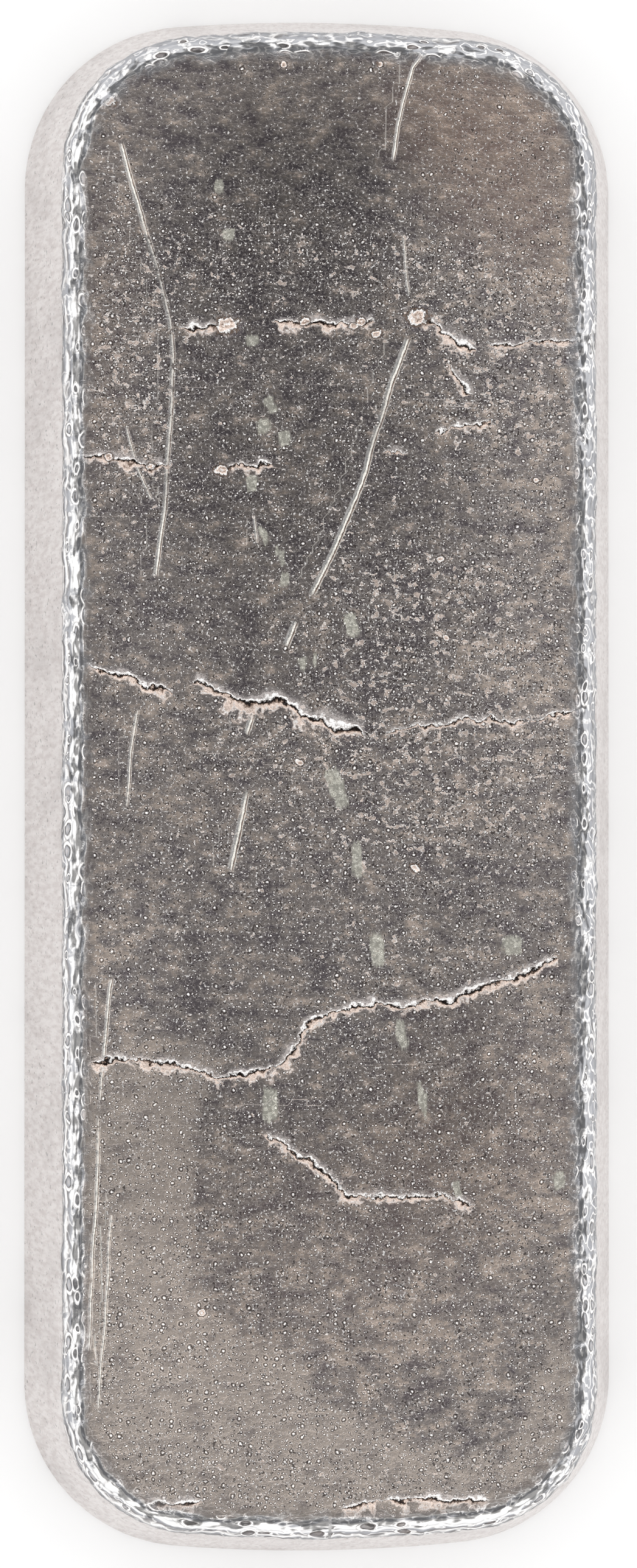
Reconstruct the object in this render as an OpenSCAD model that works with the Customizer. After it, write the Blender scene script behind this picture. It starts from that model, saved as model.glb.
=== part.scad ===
// A cast silver ingot, lying on its wide pour face with its narrow mould face up.
// The ingot is one casting. Its walls lean in towards the top, so that it drops out of
// an open mould, and its corners are round in plan.
// X is across the ingot, Y is along it and Z is up. The origin is the centre of its base.

/* [Overall size] */
// Length over everything, from end to end
base_length = 237; // [190:1:300]
// Width over everything, from side to side
base_width = 91; // [76:1:120]
// Height, from the pour face to the mould face
height = 24.6; // [18:0.2:34]

/* [Mould shape] */
// Lean of the side and end walls from the vertical, in degrees
draft_angle = 13.5; // [5:0.5:15]
// Plan radius of the corners, measured at the mould face
corner_radius = 20; // [10:0.5:24]

/* [Edges] */
// Radius where the walls roll over into the mould face
top_edge_radius = 2.8; // [1:0.1:4]
// Radius where the walls turn under into the pour face
base_edge_radius = 1.2; // [0.5:0.1:3]

/* [Hidden] */
$fn = 96;

// Places are kept to a thousandth of a millimetre, so that the stretches meet exactly
function fine(v) = round(v * 1000) / 1000;

// The walls stand this far inside their rounds, so that they cross and don't only touch
wall_bite = 0.005;

// How far a wall leans in, from its widest line to where a sharp top edge would be
wall_lean = (height - base_edge_radius) * tan(draft_angle);
wall_run = fine(wall_lean + base_edge_radius * (1 - 1 / cos(draft_angle)));
// Size of the mould face, out to where its edge would be if it were sharp
top_length = base_length - 2 * wall_run;
top_width = base_width - 2 * wall_run;

// Centre of a corner's plan arc
corner_x = top_width / 2 - corner_radius;
corner_y = top_length / 2 - corner_radius;

// Centre of the round that rolls a wall into the mould face, where that face ends at reach
function top_round(reach) = [
    reach + fine(top_edge_radius * (tan(draft_angle) - 1 / cos(draft_angle))),
    height - top_edge_radius
];

// Centre of the round that turns the same wall under into the pour face
function base_round(reach) = [
    reach + fine(wall_lean - base_edge_radius / cos(draft_angle)),
    base_edge_radius
];

// The point of the wall that stands square out from the centre of a round of radius r
function on_wall(centre, r) = centre + [
    fine((r - wall_bite) * cos(draft_angle)),
    fine((r - wall_bite) * sin(draft_angle))
];

// Half of an upright section, from its middle out to the wall
module half_section(reach) {
    top_centre = top_round(reach);
    base_centre = base_round(reach);
    polygon([
        [0, 0],
        [base_centre.x, 0],
        base_centre,
        on_wall(base_centre, base_edge_radius),
        on_wall(top_centre, top_edge_radius),
        top_centre,
        [top_centre.x, height],
        [0, height]
    ]);
    translate(top_centre) circle(r = top_edge_radius);
    translate(base_centre) circle(r = base_edge_radius);
}

// A straight stretch along Y, with its two walls standing reach from its middle
module straight_run(reach, run) {
    rotate([90, 0, 0])
        linear_extrude(height = run, center = true) {
            half_section(reach);
            mirror([1, 0]) half_section(reach);
        }
}

// One rounded corner, turned about its own centre
module corner() {
    translate([corner_x, corner_y, 0])
        rotate_extrude(angle = 90)
            half_section(corner_radius);
}

module ingot() {
    color("silver") {
        straight_run(top_width / 2, 2 * corner_y);
        rotate([0, 0, 90]) straight_run(top_length / 2, 2 * corner_x);
        for (across = [0, 1])
            for (along = [0, 1])
                mirror([across, 0, 0]) mirror([0, along, 0]) corner();
    }
}

ingot();
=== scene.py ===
import math

import bmesh
import bpy
import numpy as np
from mathutils import Matrix, Vector, noise


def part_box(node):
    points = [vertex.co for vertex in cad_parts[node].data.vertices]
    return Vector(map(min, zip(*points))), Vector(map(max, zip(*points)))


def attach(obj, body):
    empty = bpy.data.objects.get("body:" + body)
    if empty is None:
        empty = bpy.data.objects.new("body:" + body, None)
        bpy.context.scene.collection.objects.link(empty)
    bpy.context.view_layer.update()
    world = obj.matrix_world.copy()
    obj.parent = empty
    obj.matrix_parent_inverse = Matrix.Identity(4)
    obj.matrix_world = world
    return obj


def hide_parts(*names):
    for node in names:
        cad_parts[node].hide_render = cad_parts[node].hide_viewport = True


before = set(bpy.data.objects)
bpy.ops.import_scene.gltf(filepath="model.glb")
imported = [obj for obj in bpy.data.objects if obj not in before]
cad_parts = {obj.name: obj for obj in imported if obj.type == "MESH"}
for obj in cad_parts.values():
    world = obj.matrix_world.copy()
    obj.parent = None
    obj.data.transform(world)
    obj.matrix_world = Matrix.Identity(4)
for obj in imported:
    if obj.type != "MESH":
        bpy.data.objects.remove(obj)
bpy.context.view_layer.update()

# Everything up to the finished mesh is worked out in millimetres, as the casting is
mm = 0.001


# The casting's form: lean of its walls, plan arcs and edge rounds, as in the construction
form = {
    "wallLean": math.radians(13.5),
    "cornerRadius": 20.0,
    "endRadius": 235.0,
    "topRound": 2.8,
    "baseRound": 1.2,
}

# How finely the skin is divided, in millimetres between its lines
fineness = {
    "face": 0.85,
    "roll": 0.55,
    "wall": 1.6,
    "baseRoll": 0.6,
    "underside": 3.0,
    "undersideRows": 7,
    "nearCracks": (2.0, 0.9),  # reach of the first and second dividing round a cold shut
    "nearScratches": (0.8, 0.35),
}

# The face lies this far below the casting's full height, which its beads and lips reach
faceSink = 0.35

highCorner = Vector(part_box("ingot")[1]) / mm
halfWidth = highCorner.x
halfLength = highCorner.y
height = highCorner.z


# Section and plan of the plain casting

def sectionStops():
    lean, top, base = form["wallLean"], form["topRound"], form["baseRound"]
    wallRun = (height - base) * math.tan(lean) + base * (1 - 1 / math.cos(lean))
    flat = form["cornerRadius"] + top * (math.tan(lean) - 1 / math.cos(lean))
    baseCentre = form["cornerRadius"] + wallRun - base
    wallOut = baseCentre - flat + (base - top) * math.cos(lean)
    wallUp = height - top - base + (top - base) * math.sin(lean)
    wall = math.hypot(wallOut, wallUp)
    roll = top * (math.pi / 2 - lean)
    turn = base * (math.pi / 2 + lean)
    return wallRun, flat, baseCentre, np.cumsum([flat, roll, wall, turn])


wallRun, flatReach, baseReach, stops = sectionStops()
cornerX = halfWidth - wallRun - form["cornerRadius"]
farCentre = halfLength - wallRun - form["endRadius"]
innerEnd = form["endRadius"] - form["cornerRadius"]
endHalfAngle = math.asin(cornerX / innerEnd)
cornerY = farCentre + innerEnd * math.cos(endHalfAngle)


def section(t):
    lean, top, base = form["wallLean"], form["topRound"], form["baseRound"]
    flatEnd, rollEnd, wallEnd, turnEnd = stops
    out = np.minimum(t, flatEnd)
    up = np.full_like(t, height)
    tilt = np.full_like(t, math.pi / 2)

    inRoll = (t > flatEnd) & (t <= rollEnd)
    angle = math.pi / 2 - (t - flatEnd) / top
    out = np.where(inRoll, flatReach + top * np.cos(angle), out)
    up = np.where(inRoll, height - top + top * np.sin(angle), up)
    tilt = np.where(inRoll, angle, tilt)

    inWall = (t > rollEnd) & (t <= wallEnd)
    down = t - rollEnd
    out = np.where(inWall, flatReach + top * math.cos(lean) + down * math.sin(lean), out)
    up = np.where(inWall, height - top + top * math.sin(lean) - down * math.cos(lean), up)
    tilt = np.where(inWall, lean, tilt)

    inTurn = (t > wallEnd) & (t <= turnEnd)
    angle = lean - (t - wallEnd) / base
    out = np.where(inTurn, baseReach + base * np.cos(angle), out)
    up = np.where(inTurn, base + base * np.sin(angle), up)
    tilt = np.where(inTurn, angle, tilt)

    under = t > turnEnd
    out = np.where(under, baseReach - (t - turnEnd), out)
    up = np.where(under, 0.0, up)
    tilt = np.where(under, -math.pi / 2, tilt)
    return out, up, tilt


def onCasting(flatX, flatY):
    sideX, sideY = np.sign(flatX), np.sign(flatY)
    ax, ay = np.abs(flatX), np.abs(flatY)
    pastX, pastY = np.maximum(ax - cornerX, 0), np.maximum(ay - cornerY, 0)
    t = np.maximum(pastX, pastY)
    out, up, tilt = section(t)

    endShare = 2 - pastX / np.maximum(pastY, 1e-9)
    share = np.where(pastX >= pastY, pastY / np.maximum(pastX, 1e-9), endShare)
    cornerTurn = share / 2 * (math.pi / 2 - endHalfAngle)
    endTurn = endHalfAngle * np.minimum(ax / cornerX, 1)
    atEnd = (pastY > 0) & (pastX <= 0)
    facing = np.where(atEnd, math.pi / 2 - endTurn, np.where(pastX > 0, cornerTurn, math.pi / 2))

    besideX = np.minimum(ax, cornerX) + out * np.cos(facing) * (pastX > 0)
    x = np.where(atEnd, (innerEnd + out) * np.sin(endTurn), besideX)
    arcY = farCentre + innerEnd * np.cos(endTurn)
    inY = np.minimum(ay, cornerY) / cornerY * arcY
    besideY = np.where(pastX > 0, np.minimum(ay, cornerY) + out * np.sin(facing), inY)
    y = np.where(atEnd, farCentre + (innerEnd + out) * np.cos(endTurn), besideY)
    place = np.stack([x * sideX, y * sideY, up], axis=1)

    level = np.cos(tilt)
    outward = (level * np.cos(facing) * sideX, level * np.sin(facing) * sideY, np.sin(tilt))
    normal = np.stack(outward, axis=1)

    # Distance round the rim from the middle of the right side, for marks that follow the edge
    rimRadius = form["cornerRadius"]
    quarter = cornerY + rimRadius * (math.pi / 2 - endHalfAngle) + cornerX
    turned = np.where(pastX > 0, cornerTurn, math.pi / 2 - endHalfAngle) * (pastY > 0)
    alongEnd = (cornerX - np.minimum(ax, cornerX)) * (pastY > 0)
    onward = np.minimum(ay, cornerY) + rimRadius * turned + alongEnd
    onLeft = np.where(flatY >= 0, 2 * quarter - onward, 2 * quarter + onward)
    run = np.where(flatX < 0, onLeft, onward * sideY)
    return place, normal, t, run


# Marks on the mould face: places and sizes in millimetres from the middle of the face

cracks = [
    {
        "path": [(-37.3, 17.5), (-33, 17), (-30, 16), (-27.5, 14.5), (-23.5, 14)],
        "depth": 0.16, "lip": 0.1, "lap": 0.6, "size": 0.85,
    },
    {
        "path": [
            (-21, 15), (-19.5, 15.7), (-17, 14), (-14, 12.7), (-12, 12.6), (-7.7, 13), (-5.5, 12),
            (-4.3, 10.2), (-1.6, 9.6), (0, 8.7), (3.5, 8.7), (5.4, 7.1),
        ],
        "depth": 0.42, "lip": 0.26, "lap": 1.15, "size": 1.5,
    },
    {
        "path": [
            (8, 7.8), (11, 8.7), (15, 8.7), (17.5, 9.3), (22, 10), (27, 9.3), (32, 10), (38, 11.5),
        ],
        "depth": 0.1, "lip": 0.08, "lap": 1.2, "size": 0.57,
    },
    {
        "path": [
            (-36.5, -41.5), (-31.5, -41), (-25.5, -41.6), (-20.5, -42.5), (-17.5, -43.7),
            (-13, -43.4), (-9.5, -42.8), (-7.7, -42), (-6, -40), (-4.3, -37), (-3, -35.2),
            (0, -34.3), (4, -33.4), (6.5, -32.7), (11, -33.4), (15, -32.4), (18.5, -32.4),
            (20.5, -31.2), (24.6, -30), (29.5, -28.2), (34.5, -25.7),
        ],
        "depth": 0.32, "lip": 0.2, "lap": 1.0, "size": 0.95,
    },
    {
        "path": [
            (-10, -52.3), (-7.7, -53.5), (-6, -55.3), (-3.4, -56), (-1.6, -57.8), (0.8, -60),
            (2, -61.6), (5, -62), (8.7, -61.8), (13, -61.6), (16.7, -61.6), (19, -62.5),
            (22, -63.4),
        ],
        "depth": 0.24, "lip": 0.2, "lap": 0.5, "size": 0.74,
    },
    {
        "path": [(-23, 68.7), (-21, 68.6), (-15.7, 69), (-13.5, 69.6)],
        "depth": 0.24, "lip": 0.16, "lap": 0.8, "size": 1.0,
    },
    {
        "path": [(-9, 69.4), (-6, 69.4), (-2, 69.6), (0.8, 69.4), (4.4, 69.6), (7, 69.6)],
        "depth": 0.26, "lip": 0.16, "lap": 0.8, "size": 1.0,
    },
    {
        "path": [(13, 70.4), (15, 69.4), (18, 67.5), (20.3, 66), (22, 64.8)],
        "depth": 0.3, "lip": 0.16, "lap": 0.9, "size": 1.1,
    },
    {
        "path": [(22.8, 67), (26, 66.3), (32, 67), (38, 67.3)],
        "depth": 0.12, "lip": 0.06, "lap": 0.7, "size": 0.59,
    },
    {
        "path": [(17.3, 63.5), (19, 61), (21.5, 58.7)],
        "depth": 0.24, "lip": 0.14, "lap": 0.6, "size": 0.95,
    },
    {
        "path": [
            (-38, 49.5), (-35.8, 49), (-33.7, 49.2), (-31, 48.6), (-27.3, 47.7), (-23.6, 48.3),
        ],
        "depth": 0.24, "lip": 0.16, "lap": 0.6, "size": 0.9,
    },
    {
        "path": [(-17, 47.5), (-13, 48), (-8.4, 48.3)],
        "depth": 0.18, "lip": 0.12, "lap": 0.6, "size": 0.67,
    },
    {"path": [(7.5, 50.5), (12, 49.8)], "depth": 0.18, "lip": 0.1, "lap": 0.6, "size": 0.67},
    {
        "path": [(-29, -107.8), (-25, -107.4), (-19.5, -107.6)],
        "depth": 0.06, "lip": 0.1, "lap": 1.5, "size": 1.2,
    },
    {
        "path": [(1, -108.6), (8, -107.6), (16, -107.2), (24, -108)],
        "depth": 0.06, "lip": 0.1, "lap": 1.5, "size": 1.2,
    },
    {
        "path": [(15, 52.7), (17, 53.6), (20.3, 54.4), (25.3, 54.7)],
        "depth": 0.16, "lip": 0.1, "lap": 0.8, "size": 0.64,
    },
]

scratches = [
    {
        "path": [
            (-32, 97), (-30.3, 91), (-28, 83.6), (-25.5, 75), (-24.2, 69.6), (-23.9, 66),
            (-23.9, 57), (-24.4, 50), (-24.7, 44.6), (-25.2, 40.3), (-25.7, 36), (-26.4, 30.6),
        ],
        "width": 0.28, "shine": 0.7,
    },
    {
        "path": [
            (12, 68), (10.3, 63.5), (8.7, 58.7), (6.9, 53.2), (5.4, 47.7), (4.5, 45.2), (2.6, 40.3),
            (0.2, 34.8), (-1.6, 31.2), (-3.2, 28),
        ],
        "width": 0.34, "shine": 1.0,
    },
    {"path": [(-5, 25), (-7, 20.3)], "width": 0.34, "shine": 1.0},
    {"path": [(-11.7, 11), (-12.9, 7)], "width": 0.34, "shine": 1.0},
    {
        "path": [(-12.5, -0.5), (-13.2, -4), (-14, -8.4), (-15.4, -13.3)],
        "width": 0.34, "shine": 1.0,
    },
    {
        "path": [(17, 112), (14.2, 110.5), (12.4, 108), (11.2, 103.7), (10, 99), (9.3, 93.5)],
        "width": 0.22, "shine": 0.8,
    },
    {"path": [(10.9, 83.5), (11.8, 73)], "width": 0.18, "shine": 0.5},
    {
        "path": [
            (-33, -28), (-33.7, -34.5), (-34.3, -42.5), (-34.9, -50), (-35.2, -61), (-35.8, -71),
            (-36.4, -85),
        ],
        "width": 0.22, "shine": 0.8,
    },
    {"path": [(-33, -63), (-33.9, -79), (-34.9, -94)], "width": 0.18, "shine": 0.6},
    {"path": [(-29, 12.3), (-30, 5), (-30.7, -4)], "width": 0.22, "shine": 0.5},
    {"path": [(-31, 54.4), (-29, 47), (-26.6, 41.6)], "width": 0.18, "shine": 0.55},
    {"path": [(-12, 42), (-11, 34.8)], "width": 0.18, "shine": 0.45},
]

# Rubbed patches: x, y, width, length and how far each leans over
scuffs = [
    (-9.2, 57, 1.6, 3, 20), (-10.2, 53.8, 2.4, 2.4, 15), (-7.1, 52, 2.2, 2.4, 0),
    (-12, 45.2, 2, 2.6, 10), (-10.2, 37.3, 1.2, 3.4, 20), (-7.7, 34.3, 1.2, 3.6, 25),
    (-12, 66.6, 2.4, 2, 0), (3, 24, 2.2, 4, 15), (-4.3, 18.2, 1.4, 2.6, 0), (-2.2, 18.5, 0.8, 3, 5),
    (-7.1, 30.7, 1.6, 2.4, -20), (0.8, -0.5, 2.6, 6.6, 20), (3.9, -11.4, 1.8, 6, 5),
    (6.9, -24.8, 2.4, 5.4, 5), (27.4, -24.2, 3.4, 3.2, 0), (10.6, -37.6, 1.8, 5, 10),
    (13.7, -47.3, 1.4, 6.4, 12), (-9.3, -48, 2.6, 5.4, 0), (34.4, -59.6, 2, 3, 0),
    (-16.9, 89.8, 1.6, 2.2, 10), (-15.6, 82.5, 2, 2.2, 5), (19, -61, 1.2, 3, 15),
]

# Beads of metal that stand up from the face: x, y and radius
nodules = [
    (-15.7, 69, 1.35), (13, 70.4, 1.3), (-16.6, 47.2, 0.9), (-4, 69.6, 0.6), (4.4, 69.6, 0.7),
    (6.8, 67.8, 0.7), (17.5, 22.3, 0.5), (-5, 3.2, 0.6), (12.5, -12.6, 0.7), (-19.5, -79, 0.6),
    (-33.4, 102.5, 0.9), (7.4, 108.6, 0.5), (-7.2, 108.2, 0.5), (-33.5, 49, 0.6),
    (-27.2, 47.6, 0.6), (3.2, 68.9, 0.6), (16.5, 34, 0.5), (31, 46, 0.5),
]

# Lighter and darker areas of tarnish: x, y, reach across, reach along and amount
tones = [
    (-4, 84, 24, 19, -0.55), (-6, 48, 22, 16, -0.35), (-10, 20, 24, 14, -0.15),
    (-33, -30, 9, 16, 0.25), (-30, -78, 12, 26, 0.2), (32, 30, 9, 46, 0.35), (33, -52, 8, 26, 0.35),
    (24, 92, 18, 22, 0.4), (-34, 70, 6, 30, 0.1), (-26, 98, 12, 12, 0.2), (-4, -8, 26, 22, 0.05),
    (12, -70, 18, 14, 0.05), (0, -92, 42, 26, 0.35), (30, 20, 12, 60, 0.12),
    (-32, 20, 10, 70, 0.12), (-26, 20, 9, 12, 0.15), (2, -47, 30, 8, -0.05),
]
warmths = [
    (24, 90, 16, 22, 0.9), (-4, 102, 30, 8, 0.3), (0, 66, 26, 22, -0.7), (-6, 36, 24, 26, -0.5),
    (-32, 66, 7, 30, 0.6), (0, -70, 36, 30, 0.45), (24, -44, 18, 26, 0.3), (0, -105, 30, 8, 0.1),
]


# Where the paler skin at the lower left stops: it lies to the right of this line's run
paleEdge = [
    (-17, -38), (-17, -43.5), (-20.5, -50), (-20.5, -76), (-15.7, -80.5), (-4.7, -87), (0.7, -94),
    (15.8, -100), (26.6, -101), (32, -88.5), (37.6, -76), (40, -60),
]

# Areas where the skin broke up into crumbs of metal as it froze; below nothing it is smoother
crumbly = [
    (16, 22, 18, 16, 0.9), (26, 64, 14, 16, 0.8), (10, 6, 26, 6, 0.8), (0, -8, 24, 7, 0.5),
    (-30, 62, 8, 22, 0.7), (6, 78, 30, 6, 0.5), (20, -2, 16, 8, 0.6), (0, -103, 40, 4, 0.4),
    (14, -24, 16, 8, 0.4), (-8, 100, 34, 11, -1.4), (30, 90, 12, 20, -0.4),
]

# Where such areas overlap, the skin is no more broken up than this
mostCrumbly = 0.7


# Sculpting tools

# Distance given to the points that no mark is near
farAway = 9.0


def gauss(value, reach):
    return np.exp(-((value / reach) ** 2))


def ease(low, high, value):
    s = np.clip((value - low) / (high - low), 0, 1)
    return s * s * (3 - 2 * s)


def wander(place, size, seed, flatten=(1, 1, 1)):
    steps = place * (np.array(flatten) / size) + seed * 7.3
    return np.array([noise.noise(Vector(p)) for p in steps])


def nearest(path, x, y):
    best = np.full(len(x), 1e9)
    side = np.zeros(len(x))
    run = np.zeros(len(x))
    done = 0.0
    for (ax, ay), (bx, by) in zip(path, path[1:]):
        dx, dy = bx - ax, by - ay
        long = math.hypot(dx, dy)
        share = np.clip(((x - ax) * dx + (y - ay) * dy) / long**2, 0, 1)
        offX, offY = x - ax - share * dx, y - ay - share * dy
        gap = np.hypot(offX, offY)
        closer = gap < best
        best = np.where(closer, gap, best)
        side = np.where(closer, np.sign(dx * offY - dy * offX), side)
        run = np.where(closer, done + share * long, run)
        done += long
    return best, side, run, done


def patches(areas, x, y):
    total = np.zeros(len(x))
    for px, py, across, along, amount in areas:
        total += amount * np.exp(-(np.abs((x - px) / across) ** 3) - np.abs((y - py) / along) ** 3)
    return total


# The ingot: a sheet of cells wrapped round the casting, divided again where it is marked

def spread(start, end, step):
    return list(np.linspace(start, end, max(2, math.ceil((end - start) / step) + 1)))


def lineStops(core):
    flatEnd, rollEnd, wallEnd, turnEnd = stops
    out = spread(0, core, fineness["face"])
    out += spread(core, core + flatEnd - 1.0, fineness["face"])[1:]
    out += spread(core + flatEnd - 1.0, core + rollEnd + 0.6, fineness["roll"])[1:]
    out += spread(core + rollEnd + 0.6, core + wallEnd - 0.3, fineness["wall"])[1:]
    out += spread(core + wallEnd - 0.3, core + turnEnd, fineness["baseRoll"])[1:]
    underside = fineness["undersideRows"] * fineness["underside"]
    out += spread(core + turnEnd, core + turnEnd + underside, fineness["underside"])[1:]
    return np.array([-v for v in out[:0:-1]] + out)


def makeSheet():
    xLines, yLines = lineStops(cornerX), lineStops(cornerY)
    bm = bmesh.new()
    bmesh.ops.create_grid(bm, x_segments=len(xLines) - 1, y_segments=len(yLines) - 1, size=1.0)
    for v in bm.verts:
        column = round((v.co.x + 1) / 2 * (len(xLines) - 1))
        row = round((v.co.y + 1) / 2 * (len(yLines) - 1))
        v.co = (xLines[column], yLines[row], 0)
    return bm


def markedFaces(bm, crackReach, scratchReach, rollToo):
    centres = np.array([f.calc_center_median()[:] for f in bm.faces])
    place, _, t, _ = onCasting(centres[:, 0], centres[:, 1])
    x, y = place[:, 0], place[:, 1]
    marked = np.zeros(len(x), bool)
    for crack in cracks:
        gap = nearest(crack["path"], x, y)[0]
        marked |= gap < crackReach
    for scratch in scratches:
        gap = nearest(scratch["path"], x, y)[0]
        marked |= gap < scratchReach
    for px, py, r in nodules:
        marked |= np.hypot(x - px, y - py) < r * 1.3
    marked &= t < stops[1]
    if rollToo:
        marked |= (t > stops[0] - 0.8) & (t < stops[1] + 0.3)
    return [f for f, m in zip(bm.faces, marked) if m]


def divide(bm, faces):
    edges = list({e for f in faces for e in f.edges})
    bmesh.ops.subdivide_edges(bm, edges=edges, cuts=1, use_grid_fill=True)


def crackMarks(place, onTop, quick, fine):
    x = place[:, 0] + quick * 0.5 + fine * 0.25
    y = place[:, 1] + wander(place, 2.2, 5) * 0.7 + wander(place, 0.9, 6) * 0.35
    strong = np.clip(0.75 + 0.7 * wander(place, 3.2, 7), 0.15, 1.3)
    rise, across, power = np.zeros(len(x)), np.full(len(x), farAway), np.zeros(len(x))
    for crack in cracks:
        gap, side, gone, long = nearest(crack["path"], x, y)
        fade = ease(-0.3, 1.8, gone) * ease(-0.3, 1.8, long - gone)
        offset = gap * side
        push = strong * fade * onTop
        rise += push * (crack["lip"] * gauss(offset - 0.42, 0.3) - crack["depth"] * gauss(offset, 0.2))
        beyondLap = ease(crack["lap"] * 0.6, crack["lap"], -offset)
        rise -= push * 0.08 * ease(0.06, 0.25, -offset) * (1 - beyondLap)
        closer = gap < np.abs(across)
        across = np.where(closer, offset, across)
        power = np.where(closer, push * crack["size"], power)
    return rise, across, power


def scratchMarks(place, onTop, middling):
    x, y = place[:, 0] + middling * 0.25, place[:, 1]
    patchy = np.clip(0.9 + 0.8 * wander(place, 6, 8, (1, 0.5, 1)), 0.2, 1)
    rise, across, power = np.zeros(len(x)), np.full(len(x), farAway), np.zeros(len(x))
    for scratch in scratches:
        gap, side, gone, long = nearest(scratch["path"], x, y)
        fade = ease(-0.4, 2.5, gone) * ease(-0.4, 2.0, long - gone)
        offset = gap * side / scratch["width"]
        push = scratch["shine"] * fade * onTop * patchy
        burr, groove = 0.12 * gauss(offset - 0.9, 0.5), 0.22 * gauss(offset + 0.2, 0.8)
        rise += push * scratch["width"] * (burr - groove)
        closer = np.abs(offset) < np.abs(across)
        across = np.where(closer, offset, across)
        power = np.where(closer, push, power)
    return rise, across, power


def lumpMarks(place, onTop, quick):
    rise, reach = np.zeros(len(place)), np.full(len(place), farAway)
    for px, py, r in nodules:
        away = np.hypot((place[:, 0] + quick * 0.4 - px) * 0.8, place[:, 1] + quick * 0.3 - py) / r
        rise += onTop * 0.32 * r * np.sqrt(np.clip(1 - away**2, 0, 1))
        reach = np.minimum(reach, away)
    return rise, reach


def scuffMarks(x, y):
    rubbed = np.zeros(len(x))
    for px, py, across, along, lean in scuffs:
        turn = math.radians(lean)
        u = (x - px) * math.cos(turn) + (y - py) * math.sin(turn)
        v = (y - py) * math.cos(turn) - (x - px) * math.sin(turn)
        rubbed = np.maximum(rubbed, np.exp(-0.7 * ((2 * u / across) ** 4 + (2 * v / along) ** 4)))
    return rubbed


def palePart(place):
    x = place[:, 0] + wander(place, 3.5, 9) * 2.2
    y = place[:, 1] + wander(place, 3.5, 10) * 2.2
    gap, side, _, _ = nearest(paleEdge, x, y)
    return ease(-0.9, 0.9, -gap * side) * ease(-34, -46, y)


# How the skin swells: the size of each swelling and how far it rises, in millimetres
swelling = {
    "sizes": (34, 9, 2.6, 1.1),  # slow, middling, quick and fine
    "face": (0.16, 0.05, 0.02),
    "wall": (0.08, 0.02),
    "roll": (0.1, 0.28, 0.16),  # middling, quick and fine
}


def sculpt(place, t, run):
    x, y = place[:, 0], place[:, 1]
    flatEnd, rollEnd, wallEnd = stops[:3]
    onTop = 1 - ease(flatEnd - 0.5, rollEnd, t)
    onRoll = ease(flatEnd - 1.4, flatEnd + 0.4, t) * (1 - ease(rollEnd - 0.2, rollEnd + 1.0, t))
    onWall = ease(rollEnd, rollEnd + 2, t)

    slowSize, middlingSize, quickSize, fineSize = swelling["sizes"]
    slow = wander(place, slowSize, 1, (1, 0.6, 1))
    middling = wander(place, middlingSize, 2, (1, 1.5, 1))
    quick = wander(place, quickSize, 3)
    fine = wander(place, fineSize, 4)
    face, wall, roll = swelling["face"], swelling["wall"], swelling["roll"]
    aboveTurn = place[:, 2] > 1.5  # the turn into the base stays plain
    rise = onTop * (slow * face[0] + middling * face[1] + quick * face[2])
    rise += onWall * (slow * wall[0] + middling * wall[1]) * aboveTurn
    rise += onRoll * (middling * roll[0] + quick * roll[1] + fine * roll[2])

    crackRise, crackAcross, crackPower = crackMarks(place, onTop, quick, fine)
    scratchRise, scratchAcross, scratchPower = scratchMarks(place, onTop, middling)
    lumpRise, lump = lumpMarks(place, onTop, quick)
    rise = np.where(t > wallEnd, 0, rise + crackRise + scratchRise + lumpRise) - faceSink * onTop
    marks = {
        "crackAcross": crackAcross, "crackPower": crackPower,
        "scratchAcross": scratchAcross, "scratchPower": scratchPower,
        "lump": lump, "scuff": scuffMarks(x, y),
        "rim": t - flatEnd, "run": run,
        "tone": patches(tones, x, y), "warm": patches(warmths, x, y),
        "crumbly": np.minimum(patches(crumbly, x, y), mostCrumbly),
        "pale": palePart(place),
    }
    return rise, marks


def makeIngot():
    bm = makeSheet()
    print("sheet", len(bm.faces))
    divide(bm, markedFaces(bm, fineness["nearCracks"][0], fineness["nearScratches"][0], True))
    print("divided once", len(bm.faces))
    divide(bm, markedFaces(bm, fineness["nearCracks"][1], fineness["nearScratches"][1], False))
    print("divided twice", len(bm.faces))

    flat = np.array([v.co[:] for v in bm.verts])
    place, normal, t, run = onCasting(flat[:, 0], flat[:, 1])
    rise, marks = sculpt(place, t, run)
    place = place + normal * rise[:, None]
    room = np.array([halfWidth, halfLength, height])
    place[:, :2] = np.clip(place[:, :2], -room[:2], room[:2])
    place[:, 2] = np.clip(place[:, 2], 0, room[2])
    for v, p in zip(bm.verts, place * mm):
        v.co = p

    rim = [e for e in bm.edges if e.is_boundary]
    underside = bmesh.ops.contextual_create(bm, geom=rim)["faces"]
    for f in bm.faces:
        f.smooth = True
    for f in underside:
        f.smooth = False
    bmesh.ops.triangulate(bm, faces=underside)
    bmesh.ops.recalc_face_normals(bm, faces=bm.faces)

    mesh = bpy.data.meshes.new("castIngot")
    bm.to_mesh(mesh)
    bm.free()
    for name, values in marks.items():
        layer = mesh.attributes.new(name, "FLOAT", "POINT")
        layer.data.foreach_set("value", values.astype(np.float32))
    ingot = bpy.data.objects.new("castIngot", mesh)
    bpy.context.scene.collection.objects.link(ingot)
    triangles = sum(len(p.vertices) - 2 for p in mesh.polygons)
    print("ingot", len(mesh.vertices), "points,", triangles, "triangles")
    return ingot


# Materials

def newMaterial(name):
    material = bpy.data.materials.new(name)
    material.use_nodes = True
    tree = material.node_tree
    tree.nodes.clear()
    return material, tree


def put(tree, kind, inputs=None, **settings):
    made = tree.nodes.new(kind)
    for name, value in settings.items():
        setattr(made, name, value)
    for name, value in (inputs or {}).items():
        socket = made.inputs[name]
        if isinstance(value, bpy.types.NodeSocket):
            tree.links.new(value, socket)
        else:
            socket.default_value = value
    return made


def mathOf(tree, operation, *values, clamp=False):
    made = put(tree, "ShaderNodeMath", dict(enumerate(values)), operation=operation, use_clamp=clamp)
    return made.outputs[0]


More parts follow.
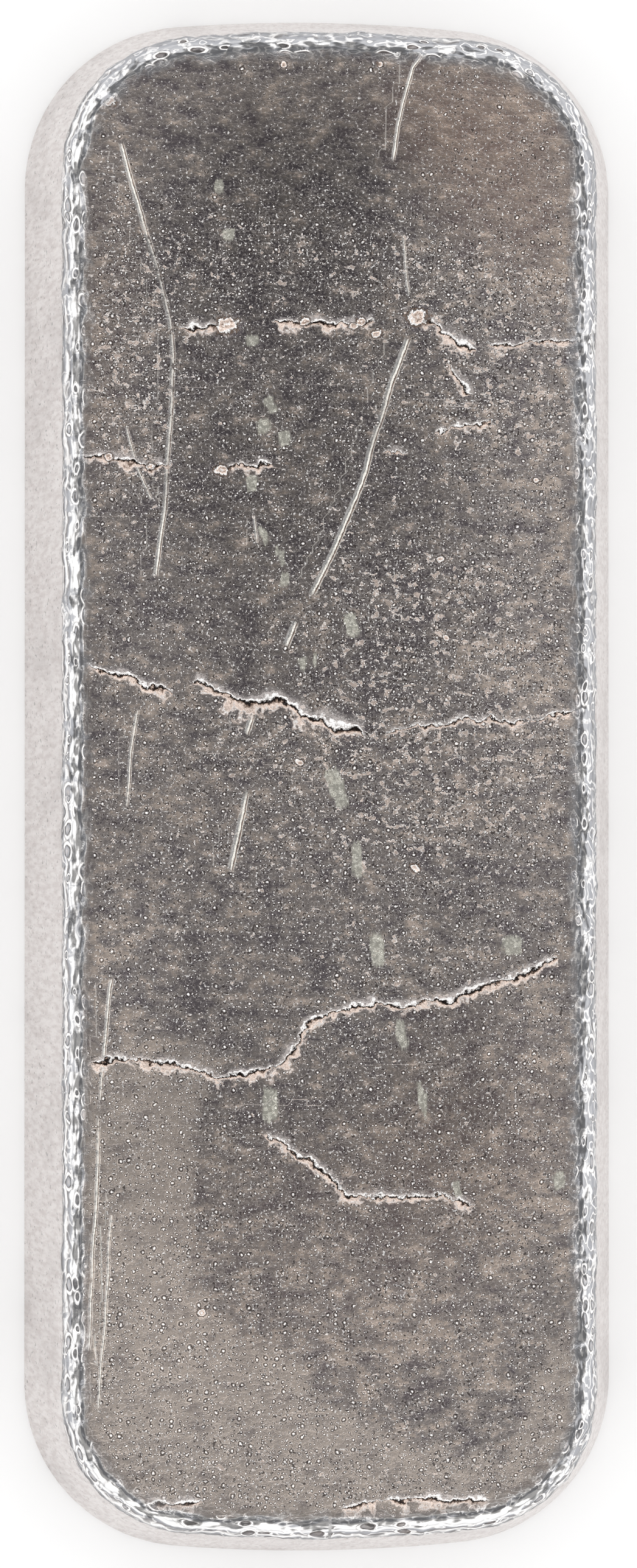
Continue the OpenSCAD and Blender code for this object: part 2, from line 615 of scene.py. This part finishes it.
def between(tree, value, low, high, start=0.0, end=1.0):
    made = put(
        tree, "ShaderNodeMapRange",
        {"Value": value, "From Min": low, "From Max": high, "To Min": start, "To Max": end},
        interpolation_type="SMOOTHSTEP",
    )
    return made.outputs["Result"]


def layered(tree, share, under, over, blend="MIX"):
    made = put(tree, "ShaderNodeMix", {0: share}, data_type="RGBA", blend_type=blend, clamp_factor=True)
    for index, value in ((6, under), (7, over)):
        if isinstance(value, bpy.types.NodeSocket):
            tree.links.new(value, made.inputs[index])
        else:
            made.inputs[index].default_value = (*value, 1)
    return made.outputs[2]


def mark(tree, name):
    return put(tree, "ShaderNodeAttribute", attribute_name=name).outputs["Fac"]


def stretched(tree, place, scale):
    return put(tree, "ShaderNodeVectorMath", {0: place, 1: scale}, operation="MULTIPLY").outputs[0]


def cloud(tree, place, scale, detail=4.0, rough=0.6, dimensions="2D"):
    values = {"Vector": place, "Scale": scale, "Detail": detail, "Roughness": rough}
    made = put(tree, "ShaderNodeTexNoise", values, noise_dimensions=dimensions)
    if dimensions == "3D":
        return made.outputs["Fac"]
    # Flat noise swings wider than solid noise, so it is drawn in towards its middle
    return mathOf(tree, "MULTIPLY_ADD", made.outputs["Fac"], 0.7, 0.15)


# A place pushed sideways by two noises, so that what is drawn there comes out crooked
def crooked(tree, place, first, second, reach):
    push = put(tree, "ShaderNodeCombineXYZ", {0: first, 1: second}).outputs[0]
    values = {0: push, 1: (reach, reach, 0), 2: place}
    return put(tree, "ShaderNodeVectorMath", values, operation="MULTIPLY_ADD").outputs[0]


def mixed(tree, *shares):
    total = shares[0]
    for share in shares[1:]:
        total = mathOf(tree, "MULTIPLY", total, share)
    return total


def added(tree, *values):
    total = values[0]
    for value in values[1:]:
        total = mathOf(tree, "ADD", total, value)
    return total


def swung(tree, noiseValue, reach):
    return mathOf(tree, "MULTIPLY_ADD", noiseValue, reach, -reach / 2)


# A colour band laid across a mark, with an element at each place
def bandAcross(tree, across, places):
    low, high = places[0], places[-1]
    share = put(tree, "ShaderNodeMapRange", {"Value": across, "From Min": low, "From Max": high})
    made = put(tree, "ShaderNodeValToRGB", {0: share.outputs["Result"]})
    for at in places[1:-1]:
        made.color_ramp.elements.new((at - low) / (high - low))
    return made


# Colours and cover across a mark, from stops of place, colour and cover
def profile(tree, across, stops):
    made = bandAcross(tree, across, [stop[0] for stop in stops])
    for element, (_, colour, cover) in zip(made.color_ramp.elements, stops):
        element.color = (*colours[colour], cover)
    return made.outputs["Color"], made.outputs["Alpha"]


# Height across a mark in millimetres, from stops of place and height
def relief(tree, across, stops):
    made = bandAcross(tree, across, [stop[0] for stop in stops])
    for element, (_, up) in zip(made.color_ramp.elements, stops):
        element.color = (0.5 + up, 0.5 + up, 0.5 + up, 1)
    return mathOf(tree, "SUBTRACT", made.outputs["Color"], 0.5)


# Beads on the skin: a core that carries a painted highlight, a ring round it that carries painted shade,
# and how far each lifts the surface
def beads(tree, place, spacing, smallest, largest, share):
    values = {"Vector": place, "Scale": 1 / spacing}
    cells = put(tree, "ShaderNodeTexVoronoi", values, voronoi_dimensions="2D")
    chance = put(tree, "ShaderNodeSeparateColor", {0: cells.outputs["Color"]})
    radius = between(tree, chance.outputs[0], 0.0, 1.0, smallest / spacing, largest / spacing)
    present = mathOf(tree, "LESS_THAN", chance.outputs[1], share)
    reach = mathOf(tree, "DIVIDE", cells.outputs["Distance"], radius)
    core = mixed(tree, between(tree, reach, 0.3, 0.7, 1.0, 0.0), present)
    ring = mixed(tree, between(tree, reach, 0.6, 0.9), between(tree, reach, 1.2, 1.9, 1.0, 0.0), present)
    dome = mixed(tree, between(tree, reach, 0.0, 1.0, 1.0, 0.0), present)
    lift = added(tree, mixed(tree, dome, largest * 0.6), mixed(tree, ring, -largest * 0.3))
    return core, ring, lift


colours = {
    "bluish": (0.138, 0.121, 0.128),
    "grey": (0.245, 0.219, 0.208),
    "tan": (0.45, 0.38, 0.33),
    "pale": (0.47, 0.41, 0.365),
    "brown": (0.3, 0.215, 0.17),
    # Dark dirt in the blots, and painted shade in crack seams, in bead, crumb and lump rings and beside
    # scratch burrs
    "grimeAndShade": (0.03, 0.022, 0.02),
    "halo": (0.5, 0.46, 0.445),
    # Painted highlights and reflections: glints, bead cores, crumb crests, crack lips, lap edges, lump
    # tops and the rolled edge's white bands, creases and pit rims
    "paintedHighlight": (0.95, 0.93, 0.915),
    # Tones of the rolled edge's painted reflection; rimLine is painted shade along its creases and cord
    # and round its bubbles, and also darkens the pits of the walls
    "roll": (0.5, 0.5, 0.505),
    "rim": (0.33, 0.335, 0.355),
    "rimLine": (0.2, 0.19, 0.19),
    # Near black, painted shade inside the rolled edge's pits at the ends
    "cavity": (0.06, 0.04, 0.033),
    "wall": (0.76, 0.725, 0.71),
    "wallStreak": (0.62, 0.57, 0.555),
    "stain": (0.46, 0.42, 0.41),
    "lap": (0.8, 0.66, 0.58),
    "scratch": (0.8, 0.77, 0.71),
    "groove": (0.36, 0.36, 0.35),
    "scuff": (0.62, 0.61, 0.53),
}


# The skin's pattern: noises by features to the millimetre, beads by spacing and least and
# greatest radius in millimetres
skin = {
    "stains": 0.1,
    "mottling": 0.45,
    "gritPatches": 0.22,
    "grit": 2.0,
    "glints": 2.6,
    "crumbs": 0.8,
    "fineBeads": (0.62, 0.06, 0.18),
    "wideBeads": (1.3, 0.08, 0.3),
    "beadShare": 0.25,  # share of the beads' places that are filled on plain skin
    "bump": 0.8,
    "roughness": 0.2,  # of the rolled edge
    "faceDuller": 0.14,
    "wallDuller": 0.2,
}


# The mould face: mottled tarnish, drawn out a little across the bar, with grit, crumbs and beads; their
# glints, crests and bead cores are painted highlights, and the crumb outlines and bead rings painted
# shade
def faceFinish(tree, place, ragged, patchy, marks):
    drawn = stretched(tree, place, (0.6, 1.0, 1.0))
    swayed = crooked(tree, place, ragged, patchy, 0.9)

    broad = cloud(tree, drawn, skin["stains"], 2.0)
    mottle = cloud(tree, drawn, skin["mottling"], 4.0, 0.68)
    tarnish = added(
        tree, mixed(tree, broad, 0.35), mixed(tree, mottle, 0.9),
        mixed(tree, marks["tone"], 0.07), -0.07,
    )
    low = between(tree, tarnish, 0.46, 0.55)
    high = between(tree, tarnish, 0.56, 0.68)
    colour = layered(tree, high, layered(tree, low, colours["bluish"], colours["grey"]), colours["tan"])
    pale = mixed(tree, marks["pale"], between(tree, mottle, 0.3, 0.6, 0.35, 0.9))
    colour = layered(tree, pale, colour, colours["pale"])
    colour = layered(tree, between(tree, marks["warm"], 0.1, 1.2, 0.0, 0.6), colour, colours["brown"])
    lighter = between(tree, marks["tone"], -0.8, 0.9, 0.5, 1.55)
    tint = put(tree, "ShaderNodeCombineColor", {0: lighter, 1: lighter, 2: lighter}).outputs[0]
    colour = layered(tree, 1.0, colour, tint, "MULTIPLY")

    blush = added(tree, mottle, mixed(tree, marks["crumbly"], 0.025), mixed(tree, marks["pale"], -0.06))
    colour = layered(tree, between(tree, blush, 0.6, 0.65, 0.0, 0.5), colour, colours["lap"])

    thick = added(
        tree, swung(tree, cloud(tree, place, skin["gritPatches"], 1.0), 0.2),
        mixed(tree, marks["crumbly"], 0.03),
        mixed(tree, marks["pale"], -0.02), between(tree, marks["rim"], -3.0, -0.6, -0.015, -0.1),
    )
    grit = added(tree, cloud(tree, swayed, skin["grit"], 2.0, 0.6), thick)
    blot = between(tree, grit, 0.55, 0.59)
    halo = mixed(tree, between(tree, grit, 0.46, 0.52), between(tree, grit, 0.53, 0.56, 1.0, 0.0))
    glint = between(tree, cloud(tree, place, skin["glints"], 1.0), 0.57, 0.61)
    glint = mixed(tree, glint, between(tree, grit, 0.51, 0.55))
    colour = layered(tree, mixed(tree, halo, 0.45), colour, colours["halo"])
    colour = layered(tree, mixed(tree, blot, 0.88), colour, colours["grimeAndShade"])
    colour = layered(tree, mixed(tree, glint, 0.75), colour, colours["paintedHighlight"])

    crumbs = cloud(tree, stretched(tree, swayed, (0.8, 1.0, 1.0)), skin["crumbs"], 3.0, 0.6)
    crumbs = added(tree, crumbs, mixed(tree, marks["crumbly"], 0.1))
    edge = mixed(tree, between(tree, crumbs, 0.605, 0.62), between(tree, crumbs, 0.635, 0.65, 1.0, 0.0))
    crumb = between(tree, crumbs, 0.635, 0.66)
    crest = mixed(tree, crumb, between(tree, crumbs, 0.66, 0.675, 1.0, 0.0))
    # A painted shade outline round each crumb and a painted highlight on its crest
    colour = layered(tree, mixed(tree, edge, 0.6), colour, colours["grimeAndShade"])
    colour = layered(tree, mixed(tree, crumb, 0.7), colour, colours["lap"])
    colour = layered(tree, mixed(tree, crest, 0.7), colour, colours["paintedHighlight"])

    many = added(
        tree, mixed(tree, marks["tone"], 0.1), mixed(tree, marks["crumbly"], 0.2),
        mixed(tree, marks["pale"], 0.25), skin["beadShare"],
    )
    many = mathOf(tree, "MULTIPLY", many, between(tree, marks["rim"], -3.0, -0.6, 1.0, 0.2))
    fineCore, fineRing, fineLift = beads(tree, swayed, *skin["fineBeads"], many)
    wideCore, wideRing, wideLift = beads(tree, swayed, *skin["wideBeads"], many)
    rings = mathOf(tree, "MAXIMUM", fineRing, wideRing)
    cores = mathOf(tree, "MAXIMUM", fineCore, wideCore)
    # Painted shade in the bead rings and painted highlights on the bead cores
    colour = layered(tree, mixed(tree, rings, 0.75), colour, colours["grimeAndShade"])
    colour = layered(tree, mixed(tree, cores, 0.9), colour, colours["paintedHighlight"])

    lift = added(
        tree, mixed(tree, blot, -0.1), mixed(tree, glint, 0.05), mixed(tree, crumb, 0.16),
        mixed(tree, edge, -0.08),
        fineLift, wideLift, mixed(tree, mottle, 0.4),
    )
    return colour, lift, blot


# Cold shuts: a white lip above that is a painted highlight, a dark seam that is painted shade, and a
# beige lap below it edged with a painted highlight
def crackFinish(tree, ragged, patchy, marks, colour, lift):
    width = mathOf(tree, "MAXIMUM", marks["crackPower"], 0.25)
    across = mathOf(tree, "DIVIDE", added(tree, marks["crackAcross"], swung(tree, ragged, 2.4)), width)
    below = mathOf(tree, "MINIMUM", across, 0.0)
    across = added(tree, across, mixed(tree, below, between(tree, patchy, 0.4, 0.64, -0.15, 0.9)))
    tone, cover = profile(tree, across, [
        (-2.3, "lap", 0.0), (-1.7, "lap", 0.35), (-1.45, "paintedHighlight", 0.85), (-1.3, "lap", 0.75),
        (-0.7, "lap", 0.9), (-0.5, "brown", 1.0), (-0.3, "grimeAndShade", 1.0), (-0.04, "grimeAndShade", 1.0),
        (0.06, "paintedHighlight", 1.0), (0.42, "paintedHighlight", 1.0), (0.54, "halo", 0.75), (1.6, "halo", 0.0),
    ])
    up = relief(tree, across, [
        (-1.9, 0.0), (-1.6, -0.06), (-1.4, 0.12), (-0.9, 0.04), (-0.4, 0.0), (-0.1, -0.3),
        (0.15, 0.1), (0.5, 0.16), (0.9, 0.0), (1.3, 0.0),
    ])
    there = between(tree, added(tree, marks["crackPower"], swung(tree, patchy, 1.3)), 0.1, 0.2)
    there = mixed(tree, there, mathOf(tree, "GREATER_THAN", marks["crackPower"], 0.06))
    colour = layered(tree, mixed(tree, cover, there), colour, tone)
    return colour, added(tree, lift, mixed(tree, up, there))


# Scratches: a smooth groove, and a burr of polished metal with a painted highlight on it and dark lines
# of painted shade in the dips beside it
def scratchFinish(tree, place, patchy, marks, colour, lift):
    ragged = swung(tree, cloud(tree, stretched(tree, place, (2.0, 0.6, 1.0)), 1.0, 3.0), 1.2)
    across = added(tree, marks["scratchAcross"], ragged)
    tone, cover = profile(tree, across, [
        (-2.0, "groove", 0.0), (-1.7, "groove", 0.6), (-0.7, "groove", 0.7), (-0.5, "scratch", 1.0),
        (0.15, "scratch", 1.0), (0.3, "grimeAndShade", 0.9), (0.8, "brown", 0.7), (0.95, "scratch", 0.6),
        (1.2, "scratch", 0.5), (1.4, "grimeAndShade", 0.3), (1.7, "grimeAndShade", 0.0),
    ])
    up = relief(tree, across, [
        (-2.0, 0.0), (-1.0, -0.08), (-0.1, 0.08), (0.5, -0.06), (1.1, 0.04), (1.7, 0.0),
    ])
    there = between(tree, added(tree, marks["scratchPower"], swung(tree, patchy, 1.6)), 0.15, 0.35)
    there = mixed(tree, there, marks["scratchPower"])
    there = mathOf(tree, "MULTIPLY", there, 1.5, clamp=True)
    colour = layered(tree, mixed(tree, cover, there), colour, tone)
    return colour, added(tree, lift, mixed(tree, up, there))


# Large beads: painted highlights on the top and round the shoulder, and a dark ring at the foot that is
# painted shade with brown tarnish in it
def lumpFinish(tree, ragged, marks, colour, lift):
    reach = added(tree, marks["lump"], swung(tree, ragged, 2.4))
    tone, cover = profile(tree, reach, [
        (0.0, "paintedHighlight", 1.0), (0.2, "lap", 0.95), (0.34, "brown", 0.95), (0.44, "lap", 0.95),
        (0.6, "lap", 0.95), (0.7, "paintedHighlight", 1.0), (0.82, "paintedHighlight", 1.0), (0.88, "grimeAndShade", 0.95),
        (1.0, "brown", 0.9), (1.12, "grimeAndShade", 0.7), (1.3, "grimeAndShade", 0.0),
    ])
    up = relief(tree, reach, [(0.0, 0.1), (0.6, 0.04), (0.8, 0.08), (1.05, -0.12), (1.5, 0.0)])
    return layered(tree, cover, colour, tone), added(tree, lift, up)


# Rubbed patches, brushed along the bar
def scuffFinish(tree, place, marks, colour):
    brushed = cloud(tree, stretched(tree, place, (4.0, 0.5, 1.0)), 1.0, 3.0)
    rubbed = between(tree, added(tree, marks["scuff"], swung(tree, brushed, 1.1)), 0.45, 0.75)
    return layered(tree, mixed(tree, rubbed, 0.7), colour, colours["scuff"])


# The rolled edge's pattern, by features to the millimetre, and its bubbles
rolledEdge = {
    "waves": 0.36,
    "waveReach": 2.8,  # how far the bands wander across the edge, in millimetres
    "dimReflectionPatches": 0.3,
    "folds": 0.5,
    "bubbles": (0.34, 0.75, 1.0),
    "bubbleRadii": (0.2, 0.5),
    "bubbleShare": 0.28,
}


# The rolled edge: a swollen band with bubbles in it, inside a cord; its colour is painted reflection,
# white bands of painted highlight and grey bands, with thin dark lines of painted shade
def rimFinish(tree, place, marks):
    along = put(tree, "ShaderNodeCombineXYZ", {0: marks["run"], 1: marks["rim"]}).outputs[0]
    wavy = cloud(tree, stretched(tree, along, (0.5, 1.0, 1.0)), rolledEdge["waves"], 2.0, 0.5)
    depth = added(tree, marks["rim"], swung(tree, wavy, rolledEdge["waveReach"]))
    sides = put(tree, "ShaderNodeSeparateXYZ", {0: place})
    rightward, northward = sides.outputs["X"], sides.outputs["Y"]
    # Patches where the painted reflection turns grey instead of white, more of them towards the right
    # side and the northern end, fewer at the southern end
    dimReflection = cloud(tree, stretched(tree, along, (1.0, 0.6, 1.0)), rolledEdge["dimReflectionPatches"], 4.0, 0.7)
    dimReflection = added(
        tree, dimReflection, between(tree, rightward, 20, 40, 0.0, 0.1),
        between(tree, northward, 98, 110, 0.0, 0.1),
        between(tree, northward, -98, -110, 0.0, -0.15),
    )
    dimReflection = mixed(tree, between(tree, dimReflection, 0.5, 0.6), 0.85)
    folds = cloud(tree, stretched(tree, along, (0.45, 1.0, 1.0)), rolledEdge["folds"], 2.0, 0.5)
    # Creases: thin lines of painted highlight with lines of painted shade beside them
    swirl, swirlCover = profile(tree, folds, [
        (0.34, "rim", 0.0), (0.4, "rimLine", 0.4), (0.43, "paintedHighlight", 0.8), (0.45, "paintedHighlight", 0.8),
        (0.47, "roll", 0.0), (0.53, "roll", 0.0), (0.555, "rimLine", 0.6), (0.57, "paintedHighlight", 0.9),
        (0.585, "paintedHighlight", 0.9), (0.6, "rim", 0.4), (0.66, "rim", 0.2), (0.7, "rim", 0.0),
    ])
    # Across the edge: white bands of painted highlight, grey bands of painted reflection and dark lines
    # of painted shade, then the wall
    tone, cover = profile(tree, depth, [
        (-2.0, "grey", 0.0), (-1.2, "grey", 0.5), (-0.6, "halo", 0.8), (-0.45, "paintedHighlight", 0.95),
        (-0.3, "rim", 0.9), (0.1, "rim", 0.95), (0.35, "paintedHighlight", 1.0), (0.9, "paintedHighlight", 1.0),
        (1.2, "roll", 1.0), (1.5, "paintedHighlight", 1.0), (1.75, "rim", 1.0), (2.2, "rimLine", 1.0),
        (2.6, "paintedHighlight", 1.0), (2.9, "rim", 1.0), (3.1, "rimLine", 1.0), (3.3, "rimLine", 1.0),
        (3.5, "wall", 1.0), (3.7, "wall", 1.0),
    ])
    swayed = crooked(tree, along, folds, wavy, 1.6)
    values = {"Vector": stretched(tree, swayed, rolledEdge["bubbles"]), "Scale": 1.0}
    cells = put(tree, "ShaderNodeTexVoronoi", values, voronoi_dimensions="2D")
    chance = put(tree, "ShaderNodeSeparateColor", {0: cells.outputs["Color"]})
    radius = between(tree, chance.outputs[0], 0.0, 1.0, *rolledEdge["bubbleRadii"])
    reach = mathOf(tree, "DIVIDE", cells.outputs["Distance"], radius)
    tone = layered(tree, dimReflection, tone, colours["rim"])
    swirlCover = mixed(tree, swirlCover, between(tree, rightward, -36, 36, 0.5, 0.85))
    tone = layered(tree, swirlCover, tone, swirl)
    # Bubbles: a painted highlight round each rim, with painted shade lines inside and outside it
    bubble, bubbleCover = profile(tree, reach, [
        (0.0, "halo", 0.7), (0.45, "rim", 0.8), (0.7, "rimLine", 0.95), (0.85, "paintedHighlight", 1.0),
        (1.05, "paintedHighlight", 1.0), (1.2, "rimLine", 0.5), (1.4, "rimLine", 0.0),
    ])
    endward = mathOf(tree, "ABSOLUTE", northward)
    # Near the ends the pits' insides are painted near black as shade
    pitShade = mixed(tree, between(tree, endward, 107, 110), between(tree, reach, 0.6, 0.85, 1.0, 0.0))
    pitShade = mixed(tree, pitShade, between(tree, folds, 0.4, 0.6, 0.95, 0.5))
    bubble = layered(tree, pitShade, bubble, colours["cavity"])
    present = mathOf(tree, "LESS_THAN", chance.outputs[1], rolledEdge["bubbleShare"])
    onRoll = between(tree, marks["rim"], 2.9, 3.3, 1.0, 0.0)
    onRoll = mixed(tree, between(tree, marks["rim"], -0.9, -0.4), onRoll)
    present = mixed(tree, present, onRoll)
    colour = layered(tree, mixed(tree, bubbleCover, present), tone, bubble)
    sunk = relief(tree, reach, [(0.0, -0.2), (0.6, -0.18), (0.95, 0.08), (1.4, 0.0)])
    lift = added(tree, mixed(tree, sunk, present), mixed(tree, wavy, 1.0), mixed(tree, folds, -0.5))
    cover = mathOf(tree, "MAXIMUM", cover, mathOf(tree, "GREATER_THAN", marks["rim"], 3.6))
    return colour, cover, lift


def wallFinish(tree, place):
    drawn = cloud(tree, stretched(tree, place, (1.0, 1.0, 0.12)), 1.3, 3.0, 0.6, "3D")
    pitted = between(tree, cloud(tree, place, 1.4, 1.0, 0.6, "3D"), 0.66, 0.7)
    stained = cloud(tree, stretched(tree, place, (1.0, 1.0, 0.6)), 0.07, 4.0, 0.65, "3D")
    colour = layered(tree, between(tree, drawn, 0.35, 0.7), colours["wall"], colours["wallStreak"])
    colour = layered(tree, between(tree, stained, 0.45, 0.7, 0.0, 0.4), colour, colours["stain"])
    colour = layered(tree, mixed(tree, pitted, 0.5), colour, colours["rimLine"])
    return colour, added(tree, mixed(tree, drawn, 0.05), mixed(tree, pitted, -0.15))


def silver():
    material, tree = newMaterial("castSilver")
    coordinates = put(tree, "ShaderNodeTexCoord").outputs["Object"]
    inMillimetres = {0: coordinates, "Scale": 1 / mm}
    place = put(tree, "ShaderNodeVectorMath", inMillimetres, operation="SCALE").outputs[0]
    names = (
        "crackAcross", "crackPower", "scratchAcross", "scratchPower", "lump", "scuff", "rim", "run",
        "tone", "warm", "crumbly", "pale",
    )
    marks = {name: mark(tree, name) for name in names}

    ragged, patchy = cloud(tree, place, 0.9, 4.0, 0.7), cloud(tree, place, 0.6, 2.0)
    colour, lift, blot = faceFinish(tree, place, ragged, patchy, marks)
    colour = scuffFinish(tree, place, marks, colour)
    colour, lift = scratchFinish(tree, place, patchy, marks, colour, lift)
    colour, lift = crackFinish(tree, ragged, patchy, marks, colour, lift)
    colour, lift = lumpFinish(tree, ragged, marks, colour, lift)

    rimColour, rimCover, rimLift = rimFinish(tree, place, marks)
    wallColour, wallLift = wallFinish(tree, place)
    onWall = between(tree, marks["rim"], 3.5, 3.9)
    colour = layered(tree, rimCover, colour, rimColour)
    colour = layered(tree, onWall, colour, wallColour)
    offFace = between(tree, marks["rim"], -1.0, 0.2)
    lift = put(tree, "ShaderNodeMix", {0: offFace, 2: lift, 3: rimLift}).outputs[0]
    lift = put(tree, "ShaderNodeMix", {0: onWall, 2: lift, 3: wallLift}).outputs[0]
    bump = put(tree, "ShaderNodeBump", {"Height": lift, "Distance": mm, "Strength": skin["bump"]})

    onFace = mathOf(tree, "SUBTRACT", 1.0, offFace)
    rough = added(
        tree, skin["roughness"], mixed(tree, onFace, skin["faceDuller"]),
        mixed(tree, onWall, skin["wallDuller"]),
    )
    metal = mathOf(tree, "SUBTRACT", 1.0, mixed(tree, blot, onFace, 0.5), clamp=True)
    shader = put(
        tree, "ShaderNodeBsdfPrincipled",
        {"Base Color": colour, "Metallic": metal, "Roughness": rough, "Normal": bump.outputs[0]},
    )
    put(tree, "ShaderNodeOutputMaterial", {"Surface": shader.outputs[0]})
    print("cast silver", len(tree.nodes), "nodes")
    return material


# Stage: a pale table, an even white surround and the dark of the camera overhead

studio = {
    "surround": 1.5,
    "overhead": 0.34,
    "darkFrom": 0.80,
    "darkTo": 0.96,
    "table": (0.91, 0.91, 0.91),
    "tableReach": 3.0,
}


def makeTable():
    bm = bmesh.new()
    bmesh.ops.create_grid(bm, x_segments=1, y_segments=1, size=studio["tableReach"])
    mesh = bpy.data.meshes.new("table")
    bm.to_mesh(mesh)
    bm.free()
    table = bpy.data.objects.new("table", mesh)
    bpy.context.scene.collection.objects.link(table)
    material, tree = newMaterial("paleTable")
    values = {"Base Color": (*studio["table"], 1), "Roughness": 0.7}
    shader = put(tree, "ShaderNodeBsdfPrincipled", values)
    put(tree, "ShaderNodeOutputMaterial", {"Surface": shader.outputs[0]})
    mesh.materials.append(material)
    return table


def makeSurround():
    world = bpy.data.worlds.new("studio")
    bpy.context.scene.world = world
    world.use_nodes = True
    tree = world.node_tree
    tree.nodes.clear()
    direction = put(tree, "ShaderNodeTexCoord").outputs["Generated"]
    up = put(tree, "ShaderNodeSeparateXYZ", {0: direction}).outputs["Z"]
    strength = between(
        tree, up, studio["darkFrom"], studio["darkTo"], studio["surround"], studio["overhead"],
    )
    light = put(tree, "ShaderNodeBackground", {"Color": (1, 1, 1, 1), "Strength": strength})
    put(tree, "ShaderNodeOutputWorld", {"Surface": light.outputs[0]})


# Camera: 690 mm above the face, a little to the left of it

shot = {
    "distance": 690.0,
    "fromLeft": math.radians(5.2),
    "fromNear": math.radians(0.4),
    "aimX": -2.0,
    "aimY": 0.1,
    "seen": 235.4,  # of the frame's long side, at the aim
    "sensor": 36,
    "clip": (0.01, 20),
}


def makeCamera():
    camera = bpy.data.cameras.new("camera")
    holder = bpy.data.objects.new("camera", camera)
    bpy.context.scene.collection.objects.link(holder)
    away = Vector((-math.sin(shot["fromLeft"]), -math.sin(shot["fromNear"]), 1)).normalized()
    middle = Vector((0, 0, height))
    holder.location = (middle + away * shot["distance"]) * mm
    aim = Vector((shot["aimX"], shot["aimY"], height)) * mm
    back = (holder.location - aim).normalized()
    upward = (Vector((0, 1, 0)) - back * back.y).normalized()
    right = upward.cross(back)
    holder.matrix_world = Matrix((
        (right.x, upward.x, back.x, holder.location.x),
        (right.y, upward.y, back.y, holder.location.y),
        (right.z, upward.z, back.z, holder.location.z),
        (0, 0, 0, 1),
    ))
    camera.sensor_fit = "AUTO"
    camera.sensor_width = shot["sensor"]
    camera.lens = camera.sensor_width * shot["distance"] / shot["seen"]
    camera.clip_start, camera.clip_end = shot["clip"]
    bpy.context.scene.camera = holder


castIngot = makeIngot()
castIngot.data.materials.append(silver())
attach(castIngot, "root")
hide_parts("ingot")
makeTable()
makeSurround()
makeCamera()
print("stage and camera set")
bpy.context.scene.view_settings.view_transform = "Standard"
